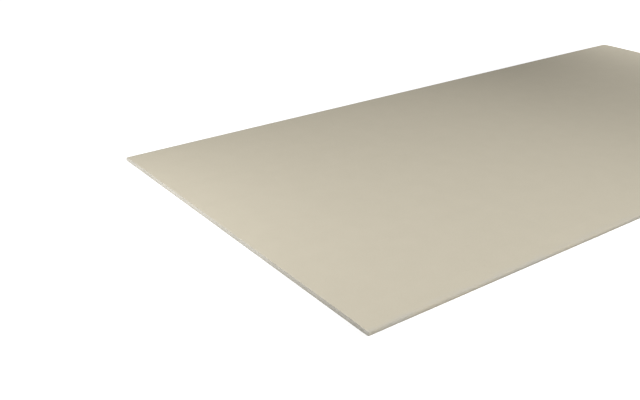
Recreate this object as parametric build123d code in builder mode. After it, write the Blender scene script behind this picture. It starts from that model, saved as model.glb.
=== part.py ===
from build123d import *
from math import atan2, tan
import os

# A drywall sheet lying face up: one board of gypsum in a paper wrap.
# Both long edges taper on the face side, and both ends are cut square.
# The origin is the middle of the back. +X runs along the sheet, +Y across it
# and +Z out of the face. All lengths are in millimetres.

# Overall sizes: eight feet by four feet by half an inch
sheet_length = 2438.4
sheet_width = 1219.2
sheet_thickness = 12.7

# Taper of the face along each long edge, which leaves room for tape and joint compound
taper_width = 63.5
taper_depth = 1.6
taper_fade = 24.0  # stretch of face that bends softly into the taper

# Long edge, where the face paper folds round the gypsum and laps onto the back
face_fold_radius = 5.0
back_fold_radius = 2.0
lap_strip_width = 16.0  # folded face paper that the back paper leaves bare
back_paper_thickness = 0.3  # step from that strip down to the back paper

# On a thin board the two folds stay within these shares of the edge
face_fold_limit_share = 0.6
back_fold_limit_share = 0.3

# What follows from those sizes
half_width = sheet_width / 2
edge_height = sheet_thickness - taper_depth - back_paper_thickness
face_fold = min(face_fold_radius, face_fold_limit_share * edge_height)
back_fold = min(back_fold_radius, back_fold_limit_share * edge_height)
taper_angle = atan2(taper_depth, taper_width)
taper_bend_radius = taper_fade / 2 / tan(taper_angle / 2)

# Corners of the section at one long edge, from the flat face round to the flat back,
# as a place across the sheet, a height above the back and the radius of the bend there
edge_corners = [
    (half_width - taper_width, sheet_thickness, taper_bend_radius),
    (half_width, sheet_thickness - taper_depth, face_fold),
    (half_width, back_paper_thickness, back_fold),
    (half_width - lap_strip_width, back_paper_thickness, 0),
    (half_width - lap_strip_width, 0, 0),
]
other_edge_corners = [(-across, height, bend) for across, height, bend in reversed(edge_corners)]
corners = edge_corners + other_edge_corners

with BuildPart() as drywall_sheet:
    with BuildSketch(Plane.YZ) as section:
        with BuildLine() as outline:
            FilletPolyline(
                [(across, height) for across, height, bend in corners],
                radius=[bend for across, height, bend in corners],
                close=True,
            )
        make_face()
    extrude(amount=sheet_length / 2, both=True)

drywall_sheet.part.label = "drywall_sheet"
os.makedirs("parts", exist_ok=True)
export_step(drywall_sheet.part, "parts/drywall_sheet.step")
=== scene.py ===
import math

import bmesh
import bpy
import numpy as np
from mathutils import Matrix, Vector


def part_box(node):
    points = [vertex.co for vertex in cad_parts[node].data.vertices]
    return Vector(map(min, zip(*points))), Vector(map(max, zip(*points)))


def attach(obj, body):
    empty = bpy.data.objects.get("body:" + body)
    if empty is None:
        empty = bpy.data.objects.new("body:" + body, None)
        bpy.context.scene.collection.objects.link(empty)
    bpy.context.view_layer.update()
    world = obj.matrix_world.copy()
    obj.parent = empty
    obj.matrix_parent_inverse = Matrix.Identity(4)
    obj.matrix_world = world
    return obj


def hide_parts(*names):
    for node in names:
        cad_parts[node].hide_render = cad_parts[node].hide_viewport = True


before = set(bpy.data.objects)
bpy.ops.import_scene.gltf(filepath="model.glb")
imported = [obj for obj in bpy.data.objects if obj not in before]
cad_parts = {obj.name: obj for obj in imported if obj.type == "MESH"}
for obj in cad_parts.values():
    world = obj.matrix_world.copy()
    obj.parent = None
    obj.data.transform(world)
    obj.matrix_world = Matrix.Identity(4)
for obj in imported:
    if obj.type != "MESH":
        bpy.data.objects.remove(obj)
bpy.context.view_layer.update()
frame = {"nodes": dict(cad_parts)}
print("frame loaded:", ", ".join(frame["nodes"]))

# The board lies face up along X, with its back on the floor. All lengths are in metres.
boardLow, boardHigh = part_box("drywall_sheet")
halfLength = (boardHigh.x - boardLow.x) / 2
halfWidth = (boardHigh.y - boardLow.y) / 2
thickness = boardHigh.z - boardLow.z

sheet = dict(
    # section, as the solid has it
    taperWidth=0.0635,
    taperDepth=0.0016,
    taperFade=0.024,  # stretch of face that bends into the taper
    faceFold=0.005,  # radii of the two paper folds
    backFold=0.002,
    lapStrip=0.016,  # folded face paper that the back paper leaves bare
    backPaper=0.0003,
    lapEdge=0.0003,  # width of the step down to the back paper
    # grid
    acrossStep=0.002,
    alongStep=0.05,
    endSteps=(0.0, 0.0006, 0.0016, 0.004, 0.009, 0.02, 0.04),  # stations beside a cut end
    foldPoints=8,
    coreRows=8,
    weldReach=0.000001,
    sharpDegrees=35.0,
    # wear of the paper wrap
    edgeWander=0.0004,
    edgeReach=0.02,
    edgeWaves=(0.61, 0.27, 0.13),
    creaseDepth=0.00015,
    creaseWidth=0.0007,
    lapWander=0.0007,
    lapReach=0.002,
    lapWaves=(0.53, 0.29, 0.17),
    pinchDepth=(0.00006, 0.0002),  # least and most
    pinchReach=0.0014,
    pinchWaves=(0.084, 0.037, 0.0163),
    cornerWear=((0.0006, 0.0004), (0.0006, 0.0009)),  # by end, then by edge
    cornerReach=0.007,
    cornerSink=0.4,  # share of that wear that goes down
    # cut ends
    paperEdge=0.00035,  # thickness of the paper as it shows there
    paperRag=0.00012,
    ragBlur=2,
    coreRecess=0.0002,  # least depth of the core behind the end
    coreCrumb=0.0005,
    crumbShare=0.6,  # fine crumbs, and the rest are coarse
    crumbBlur=2,
    coarseBlur=14,
    pitDepth=0.0006,
    pitShare=0.06,
    seed=20,
    # unrolled map: the wrap, and a shelf for each end
    mapWrap=0.93,
    mapShelves=(0.945, 0.975),
    mapShelf=0.02,
    mapDrop=0.0004,  # room for the step from the paper's edge down to the core
)
faceZone, backZone, coreZone = range(3)  # order of the board's materials


def ease(t):
    # 0 below 0 and 1 above 1, with a soft start and stop between them
    t = np.clip(t, 0.0, 1.0)
    return t * t * (3.0 - 2.0 * t)


def bell(distance, reach):
    # 1 at no distance, falling off to either side as a bell curve of that reach
    return np.exp(-((distance / reach) ** 2))


def waves(place, lengths, turns):
    # mean of sine waves of these lengths, each started at its own turn, moved to run from 0 to 1
    total = sum(np.sin(2 * math.pi * (place / length + turn)) for length, turn in zip(lengths, turns))
    return 0.5 + 0.5 * total / len(lengths)


def sideWaves(sign, place, lengths, turns):
    # waves with one start on the plus side, and with another on the minus side
    return np.where(sign > 0, waves(place, lengths, turns[0]), waves(place, lengths, turns[1]))


def faceHeight(across):
    # flat face, then a parabola over the fade, then a straight slope down to the long edge
    slope, fade = sheet["taperDepth"] / sheet["taperWidth"], sheet["taperFade"]
    past = np.abs(across) - (halfWidth - sheet["taperWidth"])
    bend = slope * np.clip(past + fade / 2, 0.0, fade) ** 2 / (2 * fade)
    return thickness - bend - slope * np.clip(past - fade / 2, 0.0, None)


def backHeight(across):
    # zero on the back paper, and one paper higher on the lap strips beside the long edges
    past = np.abs(across) - (halfWidth - sheet["lapStrip"])
    return sheet["backPaper"] * ease(past / sheet["lapEdge"] + 0.5)


def acrossPlaces():
    # even steps between the two folds, with both sides of each lap step put in
    reach = halfWidth - sheet["faceFold"]
    even = np.linspace(-reach, reach, 2 * round(reach / sheet["acrossStep"]) + 1)
    step = halfWidth - sheet["lapStrip"] + sheet["lapEdge"] * np.array([-0.5, 0.5])
    return np.unique(np.concatenate([even, step, -step]))


def bothFolds(fold, level, away, turn):
    # quarter arc of a fold at the right edge and its mirror at the left one, from the edge inwards
    across = halfWidth - fold + (fold - away) * np.cos(turn)
    height = level + (fold - away) * np.sin(turn)
    return np.stack([across, height]), np.stack([-across, height])


def sectionGrid(inset):
    # Places across and heights of the section, in columns across and rows up, drawn in by inset all round.
    # The face line and the back line each run from fold to fold, and a column is straight between them.
    lean = math.atan2(sheet["taperDepth"], sheet["taperWidth"])
    flat = acrossPlaces()
    faceFold, backFold = sheet["faceFold"], sheet["backFold"]
    faceLevel = float(faceHeight(halfWidth)) + faceFold * (math.tan(lean) - 1 / math.cos(lean))
    faceTurn = np.linspace(0.0, math.pi / 2 - lean, sheet["foldPoints"])
    backTurn = np.linspace(0.0, -math.pi / 2, sheet["foldPoints"])
    right, left = bothFolds(faceFold, faceLevel, inset, faceTurn)
    faceLine = np.concatenate([left, [flat, faceHeight(flat) - inset], right[:, ::-1]], axis=1)
    right, left = bothFolds(backFold, sheet["backPaper"] + backFold, inset, backTurn)
    backLine = np.concatenate([left, [flat, backHeight(flat) + inset], right[:, ::-1]], axis=1)
    up = np.linspace(0.0, 1.0, sheet["coreRows"] + 1)
    return backLine[..., None] * (1 - up) + faceLine[..., None] * up


def rimOrder(columns, rows):
    # grid places round the rim: over the face, down an edge, back under the board, up to the start again
    over, up = np.arange(columns), np.arange(1, rows - 1)
    column = np.concatenate([over, np.full(len(up), columns - 1), over[::-1], np.zeros(len(up) + 1, int)])
    row = np.concatenate([np.full(columns, rows - 1), up[::-1], np.zeros(columns, int), up, [rows - 1]])
    return column, row


def rimZones(across, row):
    # back paper under the board between the two lap strips, and face paper all the rest of the way round
    middle = np.abs(across[:-1] + across[1:]) / 2
    inside = middle < halfWidth - sheet["lapStrip"] + sheet["lapEdge"]
    under = (row[:-1] == 0) & (row[1:] == 0)
    return np.where(under & inside, backZone, faceZone)


def alongPlaces():
    # close stations at both cut ends, and even ones between
    near = np.array(sheet["endSteps"])
    reach = halfLength - near[-1]
    even = np.linspace(-reach, reach, round(2 * reach / sheet["alongStep"]) + 1)
    return np.concatenate([near - halfLength, even[1:-1], (halfLength - near)[::-1]])


def placed(along, section):
    # points at these places along the board, on these places of the section
    return np.stack(np.broadcast_arrays(along, *section), -1)


def worn(points, turns):
    # Wear of the wrap. Long edges wander in by waves along the board, a crease dips in along each fold
    # by a bell, and the back paper's rim wanders both ways. Cut ends are pinched by an exponential of the
    # way in, and corners are blunted by a bell.
    x, y, z = np.moveaxis(points, -1, 0)
    end, side = np.sign(x), np.sign(y)
    toEnd, toEdge = halfLength - np.abs(x), halfWidth - np.abs(y)
    wander = sheet["edgeWander"] * sideWaves(side, x, sheet["edgeWaves"], turns["edge"])
    wander = wander * ease(1 - toEdge / sheet["edgeReach"])
    foldLines = (thickness - sheet["taperDepth"] - sheet["faceFold"], sheet["backPaper"] + sheet["backFold"])
    crease = sheet["creaseDepth"] * sum(bell(z - line, sheet["creaseWidth"]) for line in foldLines)
    crease = crease * (toEdge < sheet["backFold"])
    lap = sheet["lapWander"] * (sideWaves(side, x, sheet["lapWaves"], turns["lap"]) - 0.5)
    lap = lap * bell(toEdge - sheet["lapStrip"], sheet["lapReach"]) * (z < sheet["backFold"])
    least, most = sheet["pinchDepth"]
    pinch = least + (most - least) * sideWaves(end, y, sheet["pinchWaves"], turns["pinch"])
    pinch = pinch * np.exp(-toEnd / sheet["pinchReach"])
    blunt = np.array(sheet["cornerWear"])[(end > 0).astype(int), (side > 0).astype(int)]
    blunt = blunt * bell(np.hypot(toEnd, toEdge), sheet["cornerReach"])
    sink = (pinch + sheet["cornerSink"] * blunt) * z / thickness
    return np.stack([x - end * blunt, y - side * (wander + crease + lap + blunt), z - sink], -1)


def blurred(values, passes):
    # each pass takes the mean of a place and its four neighbours, then the result fills 0 to 1 again
    for _ in range(passes):
        wide = np.pad(values, 1, mode="edge")
        values = (values + wide[2:, 1:-1] + wide[:-2, 1:-1] + wide[1:-1, 2:] + wide[1:-1, :-2]) / 5
    return (values - values.min()) / (values.max() - values.min())


def crumbledDepth(shape, dice):
    # depth of the core behind the board's end: fine and coarse crumbs, and air holes at random places
    share = sheet["crumbShare"]
    crumbs = share * blurred(dice.random(shape), sheet["crumbBlur"])
    crumbs = crumbs + (1 - share) * blurred(dice.random(shape), sheet["coarseBlur"])
    holes = dice.random(shape) * (dice.random(shape) < sheet["pitShare"])
    return sheet["coreRecess"] + sheet["coreCrumb"] * crumbs + sheet["pitDepth"] * holes


def wrapMap(along, section):
    # the wrap unrolled: the place along the board, and the way round the rim
    way = np.concatenate([[0.0], np.cumsum(np.hypot(*np.diff(section)))])
    u, v = 0.5 + along / (2 * halfLength), sheet["mapWrap"] * way / way[-1]
    return np.stack(np.meshgrid(u, v, indexing="ij"), -1)


def endMap(section, shelf):
    # an end seen straight on, laid on its shelf
    across, height = section
    return np.stack([0.5 + across / (2 * halfWidth), shelf + sheet["mapShelf"] * height / thickness], -1)


def cutEnd(end, shelf, turns, dice):
    # At a cut end the rim steps in by one paper, drops to the core, and the section's own grid closes it.
    # Blurred noise makes the paper's edge ragged. The outer rim comes first, for the wrap to end on.
    paper = sheet["paperEdge"]
    outer, inner, spread = sectionGrid(0.0), sectionGrid(paper), sectionGrid(paper + sheet["mapDrop"])
    size = outer.shape[1:]
    column, row = rimOrder(*size)
    zones = rimZones(outer[0, column, row], row)
    coreZones = np.full((size[0] - 1) * (size[1] - 1), coreZone)
    rag = sheet["paperRag"] * blurred(dice.random(size), sheet["ragBlur"])[column, row]
    rim, lip = (worn(placed(end * halfLength, grid[:, column, row]), turns) for grid in (outer, inner))
    rim[:, 0] -= end * rag
    lip[:, 0] -= end * rag
    core = worn(placed(end * halfLength, inner), turns)
    core[..., 0] -= end * crumbledDepth(size, dice)
    rimMap, lipMap, footMap = (endMap(grid[:, column, row], shelf) for grid in (outer, inner, spread))
    foot = core[column, row]
    return rim, [
        dict(points=np.stack([rim, lip]), map=np.stack([rimMap, lipMap]), zones=zones, turned=end < 0),
        dict(points=np.stack([lip, foot]), map=np.stack([lipMap, footMap]), zones=zones, turned=end < 0),
        dict(points=core, map=endMap(spread, shelf), zones=coreZones, turned=end < 0),
    ]


def cells(grid):
    # the four corners of each cell of a grid, taken in turn
    corners = [grid[:-1, :-1], grid[1:, :-1], grid[1:, 1:], grid[:-1, 1:]]
    return np.stack(corners, 2).reshape(-1, len(corners), *grid.shape[2:])


def joinPatches(name, patches):
    # Each patch is a grid of points whose cells are quads, turned over where the patch faces -X.
    # Points that two patches share are merged, which closes the shell.
    points, quads, spread, count = [], [], [], 0
    for patch in patches:
        shape = patch["points"].shape[:2]
        number = count + np.arange(math.prod(shape)).reshape(shape)
        order = slice(None, None, -1 if patch["turned"] else 1)
        points.append(patch["points"].reshape(-1, 3))
        quads.append(cells(number)[:, order])
        spread.append(cells(patch["map"])[:, order])
        count += number.size
    points, quads, spread = (np.concatenate(parts) for parts in (points, quads, spread))
    zones = np.concatenate([patch["zones"] for patch in patches])
    mesh = bpy.data.meshes.new(name)
    mesh.vertices.add(len(points))
    mesh.vertices.foreach_set("co", points.astype(np.float32).ravel())
    mesh.loops.add(quads.size)
    mesh.loops.foreach_set("vertex_index", quads.astype(np.int32).ravel())
    mesh.polygons.add(len(quads))
    mesh.polygons.foreach_set("loop_start", np.arange(0, quads.size, quads.shape[1], dtype=np.int32))
    mesh.polygons.foreach_set("material_index", zones.astype(np.int32))
    mesh.polygons.foreach_set("use_smooth", np.ones(len(quads), bool))
    mesh.update(calc_edges=True)
    # an unrolled map of the board: the wrap, and a shelf for each end
    mesh.uv_layers.new(name="OFBake").uv.foreach_set("vector", spread.astype(np.float32).ravel())
    work = bmesh.new()
    work.from_mesh(mesh)
    bmesh.ops.remove_doubles(work, verts=work.verts, dist=sheet["weldReach"])
    work.to_mesh(mesh)
    work.free()
    mesh.set_sharp_from_angle(angle=math.radians(sheet["sharpDegrees"]))
    return mesh


def buildSheet():
    # the section's rim is carried along the board for the paper wrap, and a cut end closes it at each end
    dice = np.random.default_rng(sheet["seed"])
    turns = {name: dice.random((2, len(sheet[name + "Waves"]))) for name in ("edge", "lap", "pinch")}
    section = sectionGrid(0.0)
    column, row = rimOrder(*section.shape[1:])
    rim, along = section[:, column, row], alongPlaces()
    wrap = worn(placed(along[:, None], rim), turns)
    print("wrap:", len(along), "stations of", len(column), "places")
    patches = []
    for end, station, shelf in zip((-1, 1), (0, -1), sheet["mapShelves"]):
        wrap[station], ending = cutEnd(end, shelf, turns, dice)
        patches += ending
    zones = np.tile(rimZones(rim[0], row), len(along) - 1)
    patches.append(dict(points=wrap, map=wrapMap(along, rim), zones=zones, turned=False))
    made = bpy.data.objects.new("drywall_board", joinPatches("drywallBoard", patches))
    bpy.context.scene.collection.objects.link(made)
    return made


board = buildSheet()
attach(board, "root")
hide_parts("drywall_sheet")
print("board:", len(board.data.vertices), "points,", len(board.data.polygons), "faces")


def feed(tree, source, socket):
    # a socket is linked, a tone is made opaque, and any other value is set as it is
    if isinstance(source, bpy.types.NodeSocket):
        tree.links.new(source, socket)
    else:
        socket.default_value = (*source, 1.0) if socket.type == "RGBA" else source


def addNode(tree, kind, inputs, **settings):
    # a node with these settings, fed at sockets that go by name or number
    made = tree.nodes.new("ShaderNode" + kind)
    for name, value in settings.items():
        setattr(made, name, value)
    for name, source in inputs.items():
        feed(tree, source, made.inputs[name])
    return made


def maths(tree, how, first, second=0.0):
    # one step of sums on two numbers
    return addNode(tree, "Math", {0: first, 1: second}, operation=how).outputs[0]


def stretched(tree, place, factors):
    # a place with each of its axes multiplied by a factor: below 1 draws a pattern out that way
    return addNode(tree, "VectorMath", {0: place, 1: factors}, operation="MULTIPLY").outputs[0]


def noise(tree, place, scale, detail, distortion=0.0):
    # cloudy noise, mostly near one half, with this many finer octaves in it
    inputs = {"Vector": place, "Scale": scale, "Detail": detail, "Distortion": distortion}
    return addNode(tree, "TexNoise", inputs).outputs["Fac"]


def ramp(tree, value, low, high, start=0.0, stop=1.0):
    # value from low to high becomes start to stop, and holds there beyond them
    inputs = {"Value": value, "From Min": low, "From Max": high, "To Min": start, "To Max": stop}
    return addNode(tree, "MapRange", inputs).outputs[0]


def mixed(tree, share, first, second):
    # colour that goes from first to second as share goes from 0 to 1
    made = addNode(tree, "Mix", {"Factor": share}, data_type="RGBA")
    for source, socket in zip((first, second), (s for s in made.inputs if s.type == "RGBA")):
        feed(tree, source, socket)
    return next(s for s in made.outputs if s.type == "RGBA")


def layered(tree, tone, layers):
    # each layer is a mask with a strength and a tone, laid over what is under it
    for mask, (strength, over) in layers:
        tone = mixed(tree, maths(tree, "MULTIPLY", mask, strength), tone, over)
    return tone


def startGroup(name, inputs, outputs):
    # an empty node group with a place, these numbers in and these numbers out
    tree = bpy.data.node_groups.new(name, "ShaderNodeTree")
    tree.interface.new_socket("Place", in_out="INPUT", socket_type="NodeSocketVector")
    for label in inputs:
        tree.interface.new_socket(label, in_out="INPUT", socket_type="NodeSocketFloat")
    for label in outputs:
        tree.interface.new_socket(label, in_out="OUTPUT", socket_type="NodeSocketFloat")
    return tree, tree.nodes.new("NodeGroupInput").outputs, tree.nodes.new("NodeGroupOutput").inputs


def useGroup(tree, group, place, values):
    # a group put into a material, with the place and its own values fed in
    return addNode(tree, "Group", {"Place": place, **values}, node_tree=group).outputs


pulp = dict(
    cloudDetail=5.0,
    cloudSpan=(0.3, 0.7),
    streakStretch=(0.03, 1.0, 1.0),  # drawn out along the board, the way the paper ran
    streakDetail=3.0,
    streakSpan=(0.4, 0.7),
    fibreStretch=(0.4, 1.0, 0.7),
    fibreDetail=2.0,
    fibreBend=0.8,
    fibreMiddle=0.5,
    fibreWidth=0.035,
)


def buildPulp():
    # Paper pulp. Clouds are noise, and streaks are noise drawn out along the board. A fibre runs where
    # drawn-out noise is close to its middle value.
    scales = ("Cloud Scale", "Streak Scale", "Fibre Scale")
    tree, given, result = startGroup("paperPulp", scales, ("Cloud", "Streak", "Fibre"))
    place = given["Place"]
    cloud = noise(tree, place, given["Cloud Scale"], pulp["cloudDetail"])
    drawn = stretched(tree, place, pulp["streakStretch"])
    streak = noise(tree, drawn, given["Streak Scale"], pulp["streakDetail"])
    drawn = stretched(tree, place, pulp["fibreStretch"])
    lie = noise(tree, drawn, given["Fibre Scale"], pulp["fibreDetail"], pulp["fibreBend"])
    aside = maths(tree, "ABSOLUTE", maths(tree, "SUBTRACT", lie, pulp["fibreMiddle"]))
    feed(tree, ramp(tree, cloud, *pulp["cloudSpan"]), result["Cloud"])
    feed(tree, ramp(tree, streak, *pulp["streakSpan"]), result["Streak"])
    feed(tree, ramp(tree, aside, 0.0, pulp["fibreWidth"], 1.0, 0.0), result["Fibre"])
    return tree


tooth = dict(detail=4.0, span=(0.25, 0.75))


def buildTooth():
    # tooth of a dry surface: fine noise over several octaves
    tree, given, result = startGroup("fineTooth", ("Scale",), ("Tooth",))
    grain = noise(tree, given["Place"], given["Scale"], tooth["detail"])
    feed(tree, ramp(tree, grain, *tooth["span"]), result["Tooth"])
    return tree


spot = dict(sizes=(0.45, 1.3))  # least and most, as a share of the given radii


def buildSpots():
    # Round spots in random cells. A spot is 1 within core of its middle and 0 past rim, both in cells.
    # A cell's colour is also where its spot sits, so white noise of that colour draws two more numbers:
    # one sets the spot's size, and one leaves cells out.
    tree, given, result = startGroup("scatteredSpots", ("Scale", "Share", "Core", "Rim"), ("Spot",))
    cell = addNode(tree, "TexVoronoi", {"Vector": given["Place"], "Scale": given["Scale"]}).outputs
    drawn = addNode(tree, "TexWhiteNoise", {"Vector": cell["Color"]}).outputs["Color"]
    lots = addNode(tree, "SeparateColor", {"Color": drawn}).outputs
    away = maths(tree, "DIVIDE", cell["Distance"], ramp(tree, lots["Green"], 0.0, 1.0, *spot["sizes"]))
    dot = ramp(tree, away, given["Core"], given["Rim"], 1.0, 0.0)
    chosen = maths(tree, "LESS_THAN", lots["Red"], given["Share"])
    feed(tree, maths(tree, "MULTIPLY", dot, chosen), result["Spot"])
    return tree


rims = dict(
    # the dust mask also paints a highlight along the cut ends
    dustAndHighlightFade=2.0,  # power of the way in
    dustAndHighlightScale=90.0,
    dustAndHighlightDetail=4.0,
    dustAndHighlightSpan=(0.35, 0.7),
    rubStretch=(0.2, 1.0, 1.0),  # drawn out along the board
    rubScale=70.0,
    rubDetail=7.0,
    rubSpan=(0.35, 0.7),
)


def buildRimWearAndHighlight():
    # Gypsum dust, which also paints a highlight along the cut ends, is thickest at the cut ends and thins
    # with a power of the way in. Rubbed patches lie along the long edges. Both are broken up by noise.
    tree, given, result = startGroup("rimWearAndHighlight", ("Dusting And Highlight Reach", "Rub Reach"), ("Dusting And Highlight", "Rub"))
    place = given["Place"]
    axes = addNode(tree, "SeparateXYZ", {"Vector": place}).outputs
    toEnd = maths(tree, "SUBTRACT", halfLength, maths(tree, "ABSOLUTE", axes["X"]))
    toEdge = maths(tree, "SUBTRACT", halfWidth, maths(tree, "ABSOLUTE", axes["Y"]))
    nearEnd = maths(tree, "POWER", ramp(tree, toEnd, 0.0, given["Dusting And Highlight Reach"], 1.0, 0.0), rims["dustAndHighlightFade"])
    nearEdge = ramp(tree, toEdge, 0.0, given["Rub Reach"], 1.0, 0.0)
    dustAndHighlight = ramp(tree, noise(tree, place, rims["dustAndHighlightScale"], rims["dustAndHighlightDetail"]), *rims["dustAndHighlightSpan"])
    drawn = stretched(tree, place, rims["rubStretch"])
    rub = ramp(tree, noise(tree, drawn, rims["rubScale"], rims["rubDetail"]), *rims["rubSpan"])
    feed(tree, maths(tree, "MULTIPLY", nearEnd, dustAndHighlight), result["Dusting And Highlight"])
    feed(tree, maths(tree, "MULTIPLY", nearEdge, rub), result["Rub"])
    return tree


pulpGroup, toothGroup, spotGroup, rimGroup = buildPulp(), buildTooth(), buildSpots(), buildRimWearAndHighlight()
print("node groups:", ", ".join(group.name for group in bpy.data.node_groups))


def startMaterial(name):
    # a new material on the board, with its tree, its shader and the place on the board
    made = bpy.data.materials.new(name)
    made.use_nodes = True
    board.data.materials.append(made)
    tree = made.node_tree
    print("material:", name)
    return tree, tree.nodes["Principled BSDF"], addNode(tree, "TexCoord", {}).outputs["Object"]


def finishSurface(tree, shader, look, tone, grain, height):
    # tone and roughness that follow the masks, and a bump as deep as the look says
    inputs = {"Strength": look["bumpStrength"], "Distance": look["bumpDepth"], "Height": height}
    feed(tree, tone, shader.inputs["Base Color"])
    feed(tree, ramp(tree, grain, 0.0, 1.0, *look["roughness"]), shader.inputs["Roughness"])
    feed(tree, addNode(tree, "Bump", inputs).outputs["Normal"], shader.inputs["Normal"])
    shader.inputs["Specular IOR Level"].default_value = look["gloss"]


facePaper = dict(
    tones=((0.681, 0.624, 0.493), (0.697, 0.639, 0.507)),  # of dark and light clouds
    # strength and tone of each layer over them
    streak=(0.12, (0.66, 0.606, 0.482)),
    speck=(0.22, (0.65, 0.594, 0.468)),
    fibre=(0.32, (0.78, 0.73, 0.61)),
    fleck=(0.3, (0.40, 0.35, 0.27)),
    rub=(0.8, (0.64, 0.62, 0.55)),
    # gypsum dust, and a painted highlight along the cut ends
    dustAndHighlight=(0.3, (0.83, 0.81, 0.745)),
    # values of the node groups
    pulpScales={"Cloud Scale": 18.0, "Streak Scale": 45.0, "Fibre Scale": 520.0},
    speckScale={"Scale": 420.0},
    fleckSpots={"Scale": 170.0, "Share": 0.3, "Core": 0.06, "Rim": 0.16},
    toothScale={"Scale": 1500.0},
    rimReach={"Dusting And Highlight Reach": 0.011, "Rub Reach": 0.02},
    # surface
    fibreRelief=0.5,
    bumpStrength=0.35,
    bumpDepth=0.00006,
    roughness=(0.78, 0.92),
    gloss=0.25,
)
backPaper = dict(
    tones=((0.355, 0.322, 0.262), (0.43, 0.394, 0.325)),
    streak=(0.3, (0.33, 0.30, 0.245)),
    speck=(0.3, (0.31, 0.28, 0.225)),
    fibre=(0.35, (0.56, 0.52, 0.44)),
    fleck=(0.6, (0.16, 0.14, 0.115)),
    rub=(0.3, (0.30, 0.27, 0.22)),
    # gypsum dust, and a painted highlight along the cut ends
    dustAndHighlight=(0.55, (0.76, 0.73, 0.665)),
    pulpScales={"Cloud Scale": 26.0, "Streak Scale": 50.0, "Fibre Scale": 420.0},
    speckScale={"Scale": 330.0},
    fleckSpots={"Scale": 230.0, "Share": 0.3, "Core": 0.06, "Rim": 0.16},
    toothScale={"Scale": 1200.0},
    rimReach={"Dusting And Highlight Reach": 0.016, "Rub Reach": 0.04},
    fibreRelief=0.7,
    bumpStrength=0.5,
    bumpDepth=0.00009,
    roughness=(0.86, 0.96),
    gloss=0.2,
)


def buildPaper(name, look):
    # Pulp clouds give the base tone. Streaks, specks, fibres, flecks, rubbed patches and gypsum dust, which
    # also paints a highlight along the cut ends, lie over it, each as a mask times its strength.
    tree, shader, place = startMaterial(name)
    stock = useGroup(tree, pulpGroup, place, look["pulpScales"])
    speck = useGroup(tree, toothGroup, place, look["speckScale"])["Tooth"]
    fleck = useGroup(tree, spotGroup, place, look["fleckSpots"])["Spot"]
    grain = useGroup(tree, toothGroup, place, look["toothScale"])["Tooth"]
    wearAndHighlight = useGroup(tree, rimGroup, place, look["rimReach"])
    tone = layered(tree, mixed(tree, stock["Cloud"], *look["tones"]), (
        (stock["Streak"], look["streak"]),
        (speck, look["speck"]),
        (stock["Fibre"], look["fibre"]),
        (fleck, look["fleck"]),
        (wearAndHighlight["Rub"], look["rub"]),
        (wearAndHighlight["Dusting And Highlight"], look["dustAndHighlight"]),
    ))
    height = maths(tree, "ADD", grain, maths(tree, "MULTIPLY", stock["Fibre"], look["fibreRelief"]))
    finishSurface(tree, shader, look, tone, grain, height)


gypsumCore = dict(
    tones=((0.82, 0.78, 0.68), (0.94, 0.90, 0.80)),
    # painted shade inside the air pores
    poreShade=(0.6, (0.60, 0.56, 0.48)),
    # the coarse noise is partly random tone and partly painted shading of an uneven break
    coarseScale=7.0,
    coarseDetail=3.0,
    fineScale=130.0,
    fineDetail=5.0,
    mottleSpan=(0.76, 1.24),  # of the two noises added up
    poreSpots={"Scale": 520.0, "Share": 0.65, "Core": 0.12, "Rim": 0.3},
    toothScale={"Scale": 900.0},
    poreRelief=-1.5,  # pores go down
    bumpStrength=0.6,
    bumpDepth=0.00025,
    roughness=(0.88, 0.98),
    gloss=0.15,
)


def buildCore(name, look):
    # broken gypsum: coarse and fine noise added up mottle it, the coarse one partly as painted shading of an
    # uneven break, and the air pores of a foamed core are spots darkened with painted shade
    tree, shader, place = startMaterial(name)
    grain = useGroup(tree, toothGroup, place, look["toothScale"])["Tooth"]
    pores = useGroup(tree, spotGroup, place, look["poreSpots"])["Spot"]
    coarseToneAndShade = noise(tree, place, look["coarseScale"], look["coarseDetail"])
    fine = noise(tree, place, look["fineScale"], look["fineDetail"])
    mottle = ramp(tree, maths(tree, "ADD", coarseToneAndShade, fine), *look["mottleSpan"])
    tone = layered(tree, mixed(tree, mottle, *look["tones"]), ((pores, look["poreShade"]),))
    height = maths(tree, "ADD", grain, maths(tree, "MULTIPLY", pores, look["poreRelief"]))
    finishSurface(tree, shader, look, tone, grain, height)


# in the order of the board's zones
buildPaper("facePaper", facePaper)
buildPaper("backPaper", backPaper)
buildCore("gypsumCore", gypsumCore)


def seenByEye(tree):
    # 1 for camera, mirror and glass rays, and 0 for the rays that carry light
    path = addNode(tree, "LightPath", {}).outputs
    straight = maths(tree, "MAXIMUM", path["Is Camera Ray"], path["Is Glossy Ray"])
    return maths(tree, "MAXIMUM", straight, path["Is Transmission Ray"])


floor = dict(
    reach=20.0,
    corners=((-1, -1, 0), (1, -1, 0), (1, 1, 0), (-1, 1, 0)),
    bounceTone=(0.72, 0.72, 0.72),  # as the light sees it
    shadeTone=(0.85, 0.85, 0.85),  # as the eye sees it, with the glow added
    glow=(0.7, 0.9),  # beside the board, so that its shadow shows, and in the dim air further out
    glowReach=(0.1, 0.9),
)


def pastBoard(tree):
    # how far a place on the floor lies outside the board's outline
    axes = addNode(tree, "SeparateXYZ", {"Vector": addNode(tree, "TexCoord", {}).outputs["Object"]}).outputs
    ways = (
        maths(tree, "SUBTRACT", maths(tree, "ABSOLUTE", axes[axis]), half)
        for axis, half in (("X", halfLength), ("Y", halfWidth))
    )
    return maths(tree, "MAXIMUM", *ways)


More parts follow.
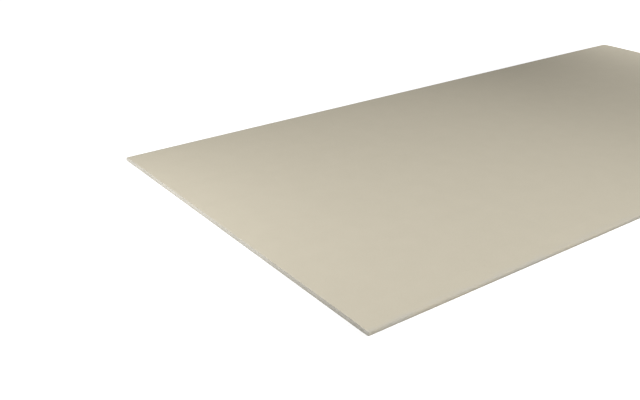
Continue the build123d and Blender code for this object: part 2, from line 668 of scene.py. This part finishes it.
def buildFloor():
    # one square at the board's back, which bounces light as plain paint and looks white but for the shadow
    mesh = bpy.data.meshes.new("studioFloor")
    mesh.from_pydata(floor["reach"] * np.array(floor["corners"]), [], [range(len(floor["corners"]))])
    made = bpy.data.materials.new("studioFloor")
    made.use_nodes = True
    tree = made.node_tree
    tree.nodes.clear()
    bounce = addNode(tree, "BsdfDiffuse", {"Color": floor["bounceTone"]}).outputs[0]
    strength = ramp(tree, pastBoard(tree), *floor["glowReach"], *floor["glow"])
    glow = addNode(tree, "Emission", {"Strength": strength}).outputs[0]
    shade = addNode(tree, "BsdfDiffuse", {"Color": floor["shadeTone"]}).outputs[0]
    white = addNode(tree, "AddShader", {0: glow, 1: shade}).outputs[0]
    both = addNode(tree, "MixShader", {0: seenByEye(tree), 1: bounce, 2: white}).outputs[0]
    addNode(tree, "OutputMaterial", {"Surface": both})
    mesh.materials.append(made)
    ground = bpy.data.objects.new("studioFloor", mesh)
    bpy.context.scene.collection.objects.link(ground)


air = dict(tone=(1.0, 1.0, 1.0), ambient=0.15, white=1.0)


def buildAir():
    # an even dim light all round, and plain white to the eye
    world = bpy.data.worlds.new("studioAir")
    world.use_nodes = True
    tree = world.node_tree
    tree.nodes.clear()
    dim = addNode(tree, "Background", {"Color": air["tone"], "Strength": air["ambient"]}).outputs[0]
    white = addNode(tree, "Background", {"Color": air["tone"], "Strength": air["white"]}).outputs[0]
    both = addNode(tree, "MixShader", {0: seenByEye(tree), 1: dim, 2: white}).outputs[0]
    addNode(tree, "OutputWorld", {"Surface": both})
    bpy.context.scene.world = world


lamps = dict(
    keyBox=dict(
        place=(2.188, -1.941, 3.356),
        aim=(-3.226, -0.558, 1.077),
        size=(1.2, 1.2),
        watts=91.9,
        spread=100.0,  # in degrees
    ),
    sideBox=dict(
        place=(-2.047, 0.316, 0.616),
        aim=(-1.2, 0.3, 0.0),
        size=(0.9, 0.5),
        watts=6.85,
        spread=180.0,
    ),
    farBox=dict(
        place=(2.161, 2.13, 2.183),
        aim=(2.084, 0.34, 0.0),
        size=(1.0, 1.0),
        watts=12.4,
        spread=50.0,
    ),
)


def buildLamp(name, look):
    # a soft box that the camera doesn't see, turned to its aim
    light = bpy.data.lights.new(name, "AREA")
    light.shape = "RECTANGLE"
    light.size, light.size_y = look["size"]
    light.energy = look["watts"]
    light.spread = math.radians(look["spread"])
    lamp = bpy.data.objects.new(name, light)
    lamp.location = look["place"]
    lamp.rotation_euler = (Vector(look["aim"]) - Vector(look["place"])).to_track_quat("-Z", "Y").to_euler()
    lamp.visible_camera = False
    bpy.context.scene.collection.objects.link(lamp)


photoView = dict(place=(-2.1535, -1.714, 0.9867), turn=36.17, dip=24.9, lens=46.2, sensor=36.0)


def buildCamera():
    # The camera's horizon is level. It is turned from +Y towards +X and dipped, in degrees, and its lens and
    # sensor are in millimetres.
    camera = bpy.data.cameras.new("photoView")
    camera.sensor_width, camera.lens = photoView["sensor"], photoView["lens"]
    view = bpy.data.objects.new("photoView", camera)
    view.location = photoView["place"]
    view.rotation_euler = (math.radians(90 - photoView["dip"]), 0.0, -math.radians(photoView["turn"]))
    bpy.context.scene.collection.objects.link(view)
    bpy.context.scene.camera = view


buildFloor()
buildAir()
for lampName, lampLook in lamps.items():
    buildLamp(lampName, lampLook)
buildCamera()
bpy.context.scene.view_settings.view_transform = "Standard"
print("studio: floor, air, lamps and camera are in place")
